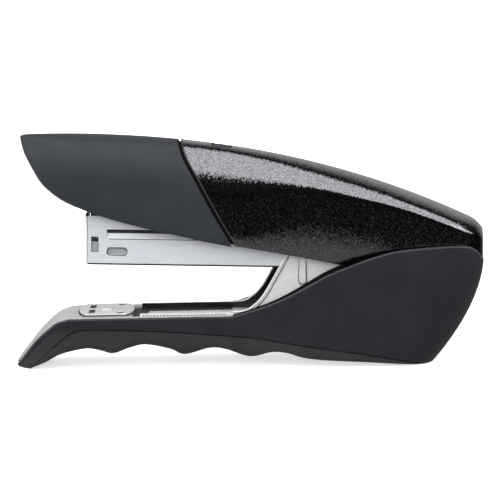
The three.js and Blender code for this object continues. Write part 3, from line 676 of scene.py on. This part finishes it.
# ---------- lower handle ----------
def base_shell():
    """Side walls of the lower handle, from the parting line to the rim, joined around the heel."""
    rows, cols = 200, 40
    w = np.linspace(0, 1, cols)[None, :]
    s = spread(rows)[:, None]
    z = np.full((rows, cols), 15.0)

    def lower_edge(x):
        return np.where((x < PARTING_FRONT) | (x > PARTING_REAR), 0, follow(PARTING, x))

    def upper_edge(x):
        arm = follow(ARM_LINE, x) - RIM_DROP - 0.9 * ease((-72 - x) / 7)
        return np.where(x < ARM_END_X, arm, follow(SHELL_RIM, x))

    for _ in range(30):
        x = BASE_TIP_X + (base_rear(z) - BASE_TIP_X) * s
        low, high = lower_edge(x), upper_edge(x)
        z = 0.5 * z + 0.5 * (low + (high - low) * w)
    y = base_half(x, z)
    near = np.stack([x, -y, z], -1)
    far = np.stack([x, y, z], -1)[::-1][1:]
    grid = np.concatenate([near, far])
    obj = new_object("base_shell_skin", grid.reshape(-1, 3), grid_faces(*grid.shape[:2]), SHELL_MATT, "base",
                     "base_shell")
    moulded_wall(obj, SHELL_WALL, 1.2, 0.42)

    def soft_tip(p, n):
        return p[0] < -57 and p[2] < follow(ARM_LINE, p[0]) - 2.6 - 2.4 * ease((p[0] + 68) / 10)

    paint(obj, GRIP, soft_tip)
    # The rim beads are a lighter copy of the shell: painted highlight along the rim.
    for name, side in (("rim_near", 1), ("rim_far", -1)):
        path = near[8:-10, -1] * [1, side, 1] + [0, side * 0.3, -0.38]
        bead(name, path, 0.4, (0, 1, 0), SHELL_EDGE_HIGHLIGHT, "base")


def shell_floor():
    """Floor of the lower handle between its walls: under the trim, and down into the bucket."""
    line = np.array([
        (-77.5, 1.2), (-72, 7.6), (-66.5, 12.6), (-60.5, 15.3), (-54, 16.2), (-7, 16.2), (0, 13.6),
        (16.4, 10.2), (33.3, 7.6), (50.1, 4.6), (58, 3.0), (64, 7.5), (70, 15), (74.5, 23), (77, 31)])
    steps, knots = np.linspace(0, 1, 90), np.linspace(0, 1, len(line))
    xs, zs = np.interp(steps, knots, line[:, 0]), np.interp(steps, knots, line[:, 1])
    half = base_half(xs, zs, 1.0)
    across = np.linspace(-1, 1, 13)
    points = [(x, h * t, z) for x, z, h in zip(xs, zs, half) for t in across]
    obj = new_object("base_shell_floor", points, grid_faces(len(steps), len(across)), SHELL_MATT, "base",
                     None)
    face_out(obj)
    thicken(obj, 1.2, 0)


def parting_line():
    """Dark line where the grip meets the shell."""
    xs = np.linspace(-67, 57, 160)
    for name, side in (("parting_near", -1), ("parting_far", 1)):
        zs = follow(PARTING, xs) - 0.1
        path = np.stack([xs, side * (base_half(xs, zs) - 0.12), zs], -1)
        bead(name, path, 0.2, (0, 1, 0), SEAM_AND_SHADE_BLACK, "base")


def grip_insert():
    """Soft grip: rounded section between the parting line and the finger waves."""
    xs = GRIP_FRONT + (PARTING_REAR - GRIP_FRONT) * spread(220)
    arc = np.linspace(0, math.pi / 2, 9)
    inset = 0.1
    points = []
    for x in xs:
        high = follow(PARTING, x) - 0.18
        low = min(follow(WAVES, x), high - 0.05)
        r = min(2.6, 0.48 * (high - low))
        e = min(0.35, 0.2 * (high - low))
        side = [(float(base_half(x, high)) - inset - e, high)]
        side += [(float(base_half(x, z)) - inset, z) for z in np.linspace(high - e, low + r, 10)]
        h = side[-1][0]
        side += [(h - r * (1 - math.cos(a)), low + r - r * math.sin(a)) for a in arc[1:]]
        side += [(side[-1][0] * t, low) for t in (0.66, 0.33, 0)]
        points += [(x, -a, b) for a, b in side] + [(x, a, b) for a, b in side[-2::-1]]
    faces = tube_faces(len(xs), len(points) // len(xs))
    obj = new_object("grip_insert_soft", points, faces, GRIP, "base", "grip_insert")
    face_out(obj, 50)


def base_trim():
    """Metal top of the arm: a bent strip that narrows to the tip, forked around the chassis."""
    line = ARM_LINE[ARM_LINE[:, 0] < -55.6]
    path = np.vstack([line, [(x, ARM_TOP) for x in np.linspace(-55.5, -6, 40)]])
    across = np.linspace(-1, 1, 31)
    points = []
    for x, z in path:
        half = base_half(x, z, (RIM_T + 0.12) * ease((x + 80.3) / 7))
        points += [(x, half * t, z) for t in across]
    obj = new_object("base_trim_strip", points, grid_faces(len(path), len(across)), SATIN, "base",
                     "base_trim")
    face_out(obj)
    if obj.data.polygons[len(obj.data.polygons) // 2].normal.z < 0:
        obj.data.flip_normals()
    thicken(obj, TRIM_T)
    ears = mm_box("chassis")[1][1]
    cut(obj, prism("fork", rect(-40, 0, -ears - 0.05, ears + 0.05), 10, 30))
    round_edges(obj, 0.3, 3, 50)
    settle(obj, 40)
    for v in obj.data.vertices:
        v.co.z = max(v.co.z, 0.02 * MM)


def anvil_bow(half_x, v):
    """X of the plate's bowed end at a share v of its half width."""
    return half_x - ANVIL_BOW * v ** 2 - ANVIL_CORNER * v ** 12


def anvil_plate():
    """Bow-ended plate with curved staple pockets: a close pair in front, a wide pair behind."""
    low, high = mm_box("anvil_plate")
    middle = (low + high) / 2
    size = high - low
    half_x, half_y, thick = size[0] / 2, size[1] / 2, size[2]
    rows, cols = 110, 96
    u, v = np.meshgrid(np.linspace(-1, 1, rows), np.linspace(-1, 1, cols), indexing="ij")
    x = u * anvil_bow(half_x, v)
    y = v * half_y
    z = np.zeros_like(x)
    pocket_half, pocket_deep = 1.15, 0.5
    for px, y0, y1 in ((-4.9, 0.7, 6.7), (4.9, 5.1, 7.7)):
        for side in (-1, 1):
            dx = (x - px) / pocket_half
            dy = (side * y - (y0 + y1) / 2) / ((y1 - y0) / 2)
            inside = np.clip(1 - np.abs(dx) ** 3 - np.abs(dy) ** 4, 0, 1)
            z -= pocket_deep * inside ** 0.4
    edge = np.minimum(1 - np.abs(u), 1 - np.abs(v))
    rolled, roll_share = 0.22, 0.035
    top = np.stack([x, y, z - rolled * np.clip(1 - edge / roll_share, 0, 1) ** 2], -1).reshape(-1, 3)
    under = np.stack([x, y, np.full_like(x, -thick)], -1).reshape(-1, 3)
    points = np.vstack([top, under]) + [middle[0], 0, high[2]]
    faces = grid_faces(rows, cols) + [tuple(reversed(f)) for f in grid_faces(rows, cols, rows * cols)]
    ring = [i * cols for i in range(rows)] + [(rows - 1) * cols + j for j in range(1, cols)]
    ring += [i * cols + cols - 1 for i in range(rows - 2, -1, -1)] + [j for j in range(cols - 2, 0, -1)]
    n = rows * cols
    faces += [(a, b, b + n, a + n) for a, b in zip(ring, ring[1:] + ring[:1])]
    obj = new_object("anvil_plate_pressed", points, faces, ANVIL, "anvil", "anvil_plate")
    face_out(obj)
    cut(obj, prism("rivet_hole", disc(middle[0], 0, 1.8, 40), low[2] - 2, high[2] + 2))
    shade(obj, 38)
    # Painted shade: the pockets' up-facing floors get the dark shade steel.
    paint(obj, SHADE, lambda p, n: p[2] < high[2] - 0.2 and n[2] > 0.3)


def anvil_shade_ring():
    """Black ring under the plate's edge that shows as a line around the plate: painted shade of the gap
    beneath it.
    """
    low, high = mm_box("anvil_plate")
    middle = (low + high) / 2
    half_x, half_y = (high - low)[0] / 2 + 0.28, (high - low)[1] / 2 + 0.05
    v = np.linspace(-1, 1, 41)
    u = anvil_bow(half_x, v)
    outline = [(middle[0] + side * a, side * b * half_y) for side in (1, -1) for a, b in zip(u, v)]
    obj = prism("anvil_shade_ring", outline, low[2] + 0.05, low[2] + 0.3)
    obj.data.materials.append(SEAM_AND_SHADE_BLACK)
    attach(obj, "anvil")


# ---------- magazine ----------
def magazine_place(points):
    """Magazine frame (X back from the front face, Z up from the underside) to the row frame."""
    p = np.array(points, float)
    c, s = math.cos(MAG_TILT), math.sin(MAG_TILT)
    return np.stack([p[:, 0] * c + p[:, 2] * s, p[:, 1], -p[:, 0] * s + p[:, 2] * c], -1) + MAG_FRONT


def magazine_pivot():
    """X and Z of the hinge in the magazine's frame."""
    pivot = np.array(find_joint("magazine_close")["pos_m"]) / MM - MAG_FRONT
    c, s = math.cos(MAG_TILT), math.sin(MAG_TILT)
    return pivot[0] * c - pivot[2] * s, pivot[0] * s + pivot[2] * c


def magazine_section(bend=0.9):
    """Open section of the channel: down one wall, across the web and up the other."""
    zs = np.concatenate([
        np.linspace(MAG_HEIGHT, 13, 8), np.linspace(12.8, 8.4, 36), np.linspace(8.2, bend, 10)])
    half = [(-MAG_HALF, z) for z in zs]
    half += [(-MAG_HALF + bend * (1 - math.cos(a)), bend * (1 - math.sin(a)))
             for a in np.linspace(0, math.pi / 2, 8)[1:]]
    half += [(y, 0) for y in np.linspace(-MAG_HALF + bend, 0, 6)[1:]]
    return np.array(half + [(-y, z) for y, z in half[-2::-1]])


def magazine_channel():
    """Sheet channel with bent lower corners, a pressed groove along each side, and its openings."""
    px, pz = magazine_pivot()
    section = magazine_section()
    front = mm_box("magazine_channel")[0][0] - MAG_FRONT[0]
    xs = np.concatenate([np.linspace(front, 6.6, 8), np.linspace(6.8, 9.3, 22), np.linspace(10, 54, 60),
                         np.linspace(54.5, 57.5, 16), np.linspace(59, px + LUG_R, 40)])
    on_wall = np.abs(section[:, 0]) > MAG_HALF - 0.01
    level = np.clip((section[:, 1] - GROOVE_LOW) / GROOVE_TALL, 0, 1)
    shape = np.clip(np.where(level > 0.54, (1 - level) / 0.44, level / 0.54), 0, 1)
    groove = (0.6 * shape + 0.4 * ease(shape)) * on_wall * np.sign(section[:, 0])
    points = []
    for x in xs:
        along = GROOVE_DEEP * ease((x - GROOVE_FRONT) / 1.1) * ease((GROOVE_REAR - x) / 1.3)
        points += [(x, a, b) for a, b in zip(section[:, 0] - along * groove, section[:, 1])]
    obj = new_object("magazine_sheet", magazine_place(points), grid_faces(len(xs), len(section)), CHROME,
                     "magazine", "magazine_channel")
    face_out(obj)
    if obj.data.polygons[len(section) // 2].normal.z > 0:
        obj.data.flip_normals()
    thicken(obj, MAG_WALL)

    window = rect(2.3, 4.4, 4.7, 9.6)
    slot_z, slot_r = 4.75, 1.25
    slot = arc_points(8.7, slot_z, slot_r, math.pi / 2, 1.5 * math.pi, 14)
    slot += arc_points(12.9, slot_z, slot_r, -math.pi / 2, math.pi / 2, 14)
    lug = arc_points(px, pz, LUG_R, math.radians(75), math.radians(-75), 14)
    rear = [(64, MAG_HEIGHT), (98, 11)] + lug + [(100, -0.01), (100, -9), (140, -9), (140, 30), (64, 30)]
    for outline in (window, slot, disc(px, pz, PIVOT_BORE), rear):
        cut(obj, placed(prism("through", outline, -20, 20, "xz")))
    inside = MAG_HALF - MAG_WALL
    cut(obj, placed(prism("exit_slot", rect(0, 3.1, -inside, inside), -1, 1)))
    cut(obj, placed(prism("web_end", rect(100, 140, -inside, inside), -9, 4)))
    round_edges(obj, 0.1, 2, 50)
    settle(obj, 38)
    modifier(obj, "WEIGHTED_NORMAL", keep_sharp=True)

    # Painted shade: the dark shade steel goes on the down-facing faces of the bent corners and of the
    # groove's upper face, and on a line along the groove's lower edge.
    def painted_shade_face(p, n):
        x, z = p[0] - MAG_FRONT[0], p[2] - MAG_FRONT[2]
        height = x * math.sin(MAG_TILT) + z * math.cos(MAG_TILT)
        back = x * math.cos(MAG_TILT) - z * math.sin(MAG_TILT)
        under = n[2] < -0.2 and height > 0.08
        crease = GROOVE_LOW - 0.1 < height < GROOVE_LOW + 0.12 and 8.2 < back < 56
        return abs(p[1]) > MAG_HALF - 0.9 and (under or crease)

    paint(obj, SHADE, painted_shade_face)
    for name, outline in (("window_shade_rim", window), ("slot_shade_rim", slot)):
        for side in (-1, 1):
            hole_shade_rim(name, outline, side)


def hole_shade_rim(name, outline, side):
    """Thin dark ring around an opening in the magazine's wall: painted shade along the opening's edge."""
    ring = np.array(outline)
    middle = (ring.max(0) + ring.min(0)) / 2
    away = ring - middle
    width, inner, outer = 0.16, 0.2, -0.03
    reach = away / np.maximum(np.abs(away), 0.01) * np.minimum(np.abs(away), width) + ring
    n = len(ring)
    points = [(x, side * (MAG_HALF - depth), z)
              for depth in (inner, outer) for loop in (ring, reach) for x, z in loop]
    faces = []
    for a, b in ((0, n), (n, 3 * n), (3 * n, 2 * n), (2 * n, 0)):
        faces += [(a + i, a + (i + 1) % n, b + (i + 1) % n, b + i) for i in range(n)]
    tag = name + ("_near" if side < 0 else "_far")
    obj = new_object(tag, magazine_place(points), faces, SHADE, "magazine", None)
    face_out(obj, 40)


def placed(tool):
    """Moves a cutting tool from the magazine's frame to the row frame."""
    co = np.array([v.co for v in tool.data.vertices]) / MM
    for v, p in zip(tool.data.vertices, magazine_place(co) * MM):
        v.co = p
    return tool


# ---------- springs and staples ----------
def coil(name, centre, low, high, radius, wire, turns, body, node, axis="z"):
    """A round-wire coil with closed ends, along Z or along the magazine."""
    sides, per_turn = 10, 28
    steps = int(turns * per_turn)
    t = np.linspace(0, 1, steps + 1)
    even = np.clip((t - 0.5) / 0.94 + 0.5, 0, 1)
    pitch = ease(even) * 0.25 + even * 0.75
    points = []
    for i in range(steps + 1):
        a = 2 * math.pi * turns * t[i]
        h = low + wire + (high - low - 2 * wire) * pitch[i]
        for k in range(sides):
            b = 2 * math.pi * k / sides
            r = radius + wire * math.cos(b)
            points.append((centre[0] + r * math.cos(a), centre[1] + r * math.sin(a), h + wire * math.sin(b)))
    points = np.array(points)
    if axis == "x":
        along, across, up = points[:, 2], points[:, 1] - centre[1], points[:, 0] - centre[0] + MAG_AXIS
        points = magazine_place(np.stack([along, across, up], -1))
    obj = new_object(name, points, tube_faces(steps + 1, sides), SPRING, body, node)
    face_out(obj, 60)
    return obj


def springs():
    """The three upright springs."""
    for name, node, turns, wire, body, joint, keep in (
            ("return_coil", "return_spring", 5, 0.5, "base", "magazine_close", 0.72),
            ("lift_coil", "lift_spring", 4, 0.5, "magazine", "driver_stroke", 0.68),
            ("button_coil", "button_spring", 4, 0.3, "arm", "button_press", 0.82)):
        low, high = mm_box(node)
        centre = (low + high) / 2
        radius = (high[1] - low[1]) / 2 - wire
        obj = coil(name, centre, low[2] + 0.1, high[2] - 0.1, radius, wire, turns, body, node)
        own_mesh(obj)


def pusher_spring():
    """The spring around the guide rod, reaching to its rear end."""
    front, rear = 42.3, 93.7
    obj = coil("pusher_coil", (0, 0), front, rear, 1.8, 0.25, 14, "drawer", "pusher_spring", axis="x")
    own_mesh(obj)


def staple_strip():
    """A stick of staples: each wire a rounded rib of the crown and legs."""
    low, high = mm_box("staple_strip")
    half, wire, crown, foot, start = (high[1] - low[1]) / 2, 0.5, 7.9, 1.9, 3.0
    inner = half - wire
    outer_half = [(half - 0.6, crown), (half - 0.18, crown - 0.18), (half, crown - 0.6), (half, foot)]
    inner_half = [(inner - 0.3, crown - wire), (inner - 0.1, crown - wire - 0.1),
                  (inner, crown - wire - 0.3), (inner, foot)]
    outer = [(-a, b) for a, b in reversed(outer_half)] + outer_half
    back = [(a, b) for a, b in reversed(inner_half)] + [(-a, b) for a, b in inner_half]
    points = []
    for i in range(STAPLE_COUNT):
        for t, sink in ((0.04, 0.09), (0.2, 0.02), (0.5, 0.0), (0.8, 0.02), (0.96, 0.09)):
            x = start + (i + t) * STAPLE_PITCH
            for a, b in outer:
                inwards = math.copysign(sink, a) * min(math.hypot(a / half, 0.4), 1)
                points.append((x, a - inwards, b - sink * (b > crown - 0.7)))
            points += [(x, a, b) for a, b in back]
    cols = len(outer) + len(back)
    obj = new_object("staple_stick", magazine_place(points), tube_faces(len(points) // cols, cols), WIRE,
                     "drawer", "staple_strip")
    face_out(obj, 45)


# ---------- small pieces, and the CAD pieces that keep their shape ----------
def ear_rims():
    """Rolled lip along the front edge of each chassis ear, with dark beads that paint the shade of its crease
    and of the ear's pressed rib.
    """
    path = spline([(-6, 18.75), (-2.2, 18.95), (0.4, 20.2), (4.3, 24), (9.5, 32.7), (12.6, 38.4)], 10)
    step = np.gradient(path, axis=0)
    normal = np.stack([-step[:, 1], step[:, 0]], -1) / np.linalg.norm(step, axis=1)[:, None]
    ear = mm_box("chassis")[1][1]
    groove = spline([(16.6, 36.4), (16.4, 29.6), (17.0, 28.1), (18.4, 28.1), (19.0, 29.6), (18.9, 35.8)], 8)
    sides = 14
    for name, side in (("ear_rim_near", -1), ("ear_rim_far", 1)):
        points = []
        for (x, z), (nx, nz) in zip(path, normal):
            for k in range(sides):
                a = 2 * math.pi * k / sides
                out, across = 0.42 * math.cos(a), 0.44 * math.sin(a)
                points.append((x + nx * out, side * (ear - 0.4) + across, z + nz * out))
        obj = new_object(name, points, tube_faces(len(path), sides), CHASSIS, "base", None)
        face_out(obj, 60)
        # Dark shade-steel beads: painted shade along the lip's crease and around the pressed rib.
        crease = [(x + 0.75, side * (ear - 0.05), z - 0.5) for x, z in path[18:]]
        bead(name + "_crease", crease, 0.14, (0, 1, 0), SHADE, "base")
        rib = [(x, side * (ear - 0.03), z) for x, z in groove]
        bead(name + "_rib", rib, 0.13, (0, 1, 0), SHADE, "base")


def rim_shade_strip():
    """Black strip between each chassis ear and the shell's rim: painted shade where the ear meets the rim."""
    xs = np.linspace(-6, 38, 60)
    ear = mm_box("chassis")[1][1]
    arc = np.linspace(0, 2 * math.pi, 12, endpoint=False)
    for name, side in (("rim_shade_near", -1), ("rim_shade_far", 1)):
        points = []
        for x in xs:
            z = follow(SHELL_RIM, x) - 0.5
            points += [(x, side * (ear + 1.5 + 0.3 * math.sin(a)), z + 0.9 * math.cos(a)) for a in arc]
        obj = new_object(name, points, tube_faces(len(xs), len(arc)), SEAM_AND_SHADE_BLACK, "base",
                         None)
        face_out(obj, 60)


def flange_teeth():
    """Row of fine teeth along the chassis flange, in the dark shade steel: painted shade along its serrated
    edge.
    """
    pitch, width = 1.15, 0.75
    ear = mm_box("chassis")[1][1]
    for name, side in (("teeth_near", -1), ("teeth_far", 1)):
        points, faces = [], []
        for x in np.arange(-36.5, -8.5, pitch):
            faces += block_faces(len(points))
            points += [(x + i, side * (ear - j), ARM_TOP + k)
                       for k in (-0.3, 0.2) for i, j in rect(0, width, 0.05, 0.45)]
        obj = new_object(name, points, faces, SHADE, "base", None)
        face_out(obj)
        round_edges(obj, 0.08, 2)
        settle(obj, 40)


def drawer_nubs():
    """Small dark stops on the drawer's front, above the magazine's near wall."""
    for name, x0, x1 in (("nub_front", 0.25, 1.1), ("nub_back", 1.9, 2.8)):
        points = [(x, y, z) for z in (16.2, 17.7) for x, y in rect(x0, x1, -7.2, -6.4)]
        obj = new_object(name, magazine_place(points), block_faces(), PUSHER, "drawer",
                         None)
        face_out(obj)
        round_edges(obj, 0.15, 3)
        settle(obj, 40)


def dress_cad():
    """Finishes for the CAD nodes that keep their own shape, with their edges eased."""
    looks = {
        CHASSIS: ["chassis", "spring_bridge", "staple_rail", "arm_frame"],
        FRAME: ["drawer_frame"],
        ANVIL: ["anvil_rivet"],
        BLADE: ["driver_blade"],
        PUSHER: ["pusher"],
        SPRING: ["anvil_washer", "pivot_clip", "latch_leaf"],
        ZINC: ["chassis_screw_1", "chassis_screw_2", "pivot_pin", "guide_rod", "driver_rivet_1",
               "driver_rivet_2", "nose_screw", "rear_screw_1", "rear_screw_2"],
    }
    for material, names in looks.items():
        for name in names:
            obj = frame["nodes"][name]
            obj.data.materials.clear()
            obj.data.materials.append(material)
            shade(obj, 30)
            thin = name in ("anvil_washer", "pivot_clip", "latch_leaf")
            round_edges(obj, 0.06 if thin else 0.15, 3, 30)
            modifier(obj, "WEIGHTED_NORMAL", keep_sharp=True)
    # Painted shade: the drawer frame behind its front plate gets the darker steel.
    paint(frame["nodes"]["drawer_frame"], INNER_SHADE, lambda p, n: p[0] > MAG_FRONT[0] + 1.9)
    # Painted shade: the chassis's inward-facing walls get the dark shade steel.
    paint(frame["nodes"]["chassis"], SHADE, lambda p, n: n[1] * p[1] < -2.5 and abs(n[1]) > 0.6)


# ---------- studio ----------
def plane(name, half, z):
    """A square of the studio, level at height z."""
    obj = linked_mesh(name, [(x, y, z) for x, y in rect(-half, half, -half, half)], [(0, 1, 2, 3)])
    return obj


def studio():
    """White paper floor, and a white world that glossy rays see as a dim room with a bright back wall."""
    paper = Nodes("paper_floor")
    paper.set("Base Color", paper.mix(paper.noise((6, 6, 6), 2), (0.86, 0.86, 0.86), (0.89, 0.89, 0.89)))
    paper.set("Roughness", 0.9)
    paper.set("Specular IOR Level", 0.1)
    paper.set("Emission Color", (1, 1, 1, 1))
    paper.set("Emission Strength", 0.6)
    floor = plane("floor", 9000, -0.2)
    floor.visible_glossy = False
    floor.visible_diffuse = False
    floor.data.materials.append(paper.material)

    world = bpy.data.worlds.new("studio_world")
    bpy.context.scene.world = world
    world.use_nodes = True
    tree = world.node_tree
    parts = tree.nodes.new("ShaderNodeSeparateXYZ")
    tree.links.new(tree.nodes.new("ShaderNodeTexCoord").outputs["Generated"], parts.inputs[0])

    def ramp(socket, low, high, out_low, out_high):
        node = tree.nodes.new("ShaderNodeMapRange")
        node.interpolation_type = "SMOOTHSTEP"
        for key, value in (("From Min", low), ("From Max", high), ("To Min", out_low), ("To Max", out_high)):
            node.inputs[key].default_value = value
        tree.links.new(parts.outputs[socket], node.inputs["Value"])
        return node.outputs["Result"]

    def combine(operation, a, b):
        node = tree.nodes.new("ShaderNodeMath")
        node.operation = operation
        tree.links.new(a, node.inputs[0])
        tree.links.new(b, node.inputs[1])
        return node.outputs[0]

    wall = combine("MULTIPLY", ramp("Y", 0.54, 0.99, 0.01, 0.37), ramp("Z", -0.16, 0.0, 0.25, 1.0))
    table = ramp("Z", -0.21, -0.42, 0.0, 0.15)
    sky = ramp("Z", -0.4, 0.4, 0.28, 0.74)
    path = tree.nodes.new("ShaderNodeLightPath")
    seen = tree.nodes.new("ShaderNodeMix")
    tree.links.new(path.outputs["Is Glossy Ray"], seen.inputs[0])
    tree.links.new(sky, seen.inputs[2])
    tree.links.new(combine("ADD", wall, table), seen.inputs[3])
    back = tree.nodes["Background"]
    back.inputs["Color"].default_value = (1, 1, 1, 1)
    tree.links.new(seen.outputs[0], back.inputs["Strength"])
    bpy.context.scene.view_settings.view_transform = "Standard"


def softbox(name, place, target, width, height, radiance):
    """A rectangular area light of the given radiance; places and sizes are in metres."""
    light = bpy.data.lights.new(name, "AREA")
    light.shape = "RECTANGLE"
    light.size = width
    light.size_y = height
    light.energy = radiance * math.pi * width * height
    obj = link(name, light)
    obj.location = place
    aim(obj, target)
    return obj


def aim(obj, target):
    """Points a light or the camera at a target."""
    direction = Vector(target) - Vector(obj.location)
    obj.rotation_euler = direction.to_track_quat("-Z", "Y").to_euler()


def camera():
    """Long lens from the near side, a little above and slightly rolled, as the photo was taken."""
    elevation, roll, distance = math.radians(11.0), math.radians(1.1), 0.7083
    target = (0.0002, 0.0, 0.03827)
    data = bpy.data.cameras.new("camera")
    data.lens = 150
    data.sensor_width = 36
    obj = link("camera", data)
    obj.location = (target[0], -distance * math.cos(elevation), target[2] + distance * math.sin(elevation))
    aim(obj, target)
    obj.rotation_euler.rotate_axis("Z", -roll)
    bpy.context.scene.camera = obj


# ---------- the stapler in its studio ----------
nose_cover()
seam_tongue()
rear_cover()
release_button()
base_shell()
shell_floor()
grip_insert()
parting_line()
base_trim()
anvil_plate()
anvil_shade_ring()
magazine_channel()
springs()
pusher_spring()
staple_strip()
ear_rims()
rim_shade_strip()
flange_teeth()
drawer_nubs()
dress_cad()

studio()
camera()
softbox("front_box", (0.15, -0.49, 1.25), (0.15, 0, 0.06), 3.1, 2.44, 1.0)
softbox("nose_box", (-1.4, -0.5, 0.5), (0, 0, 0.2), 0.8, 0.8, 2.4)
softbox("heel_box", (1.4, -0.5, 0.7), (0, 0, 0.2), 0.9, 0.9, 1.3)
softbox("low_box", (0.0, -1.3, 0.42), (0, 0, 0.04), 1.8, 0.7, 1.9).visible_glossy = False
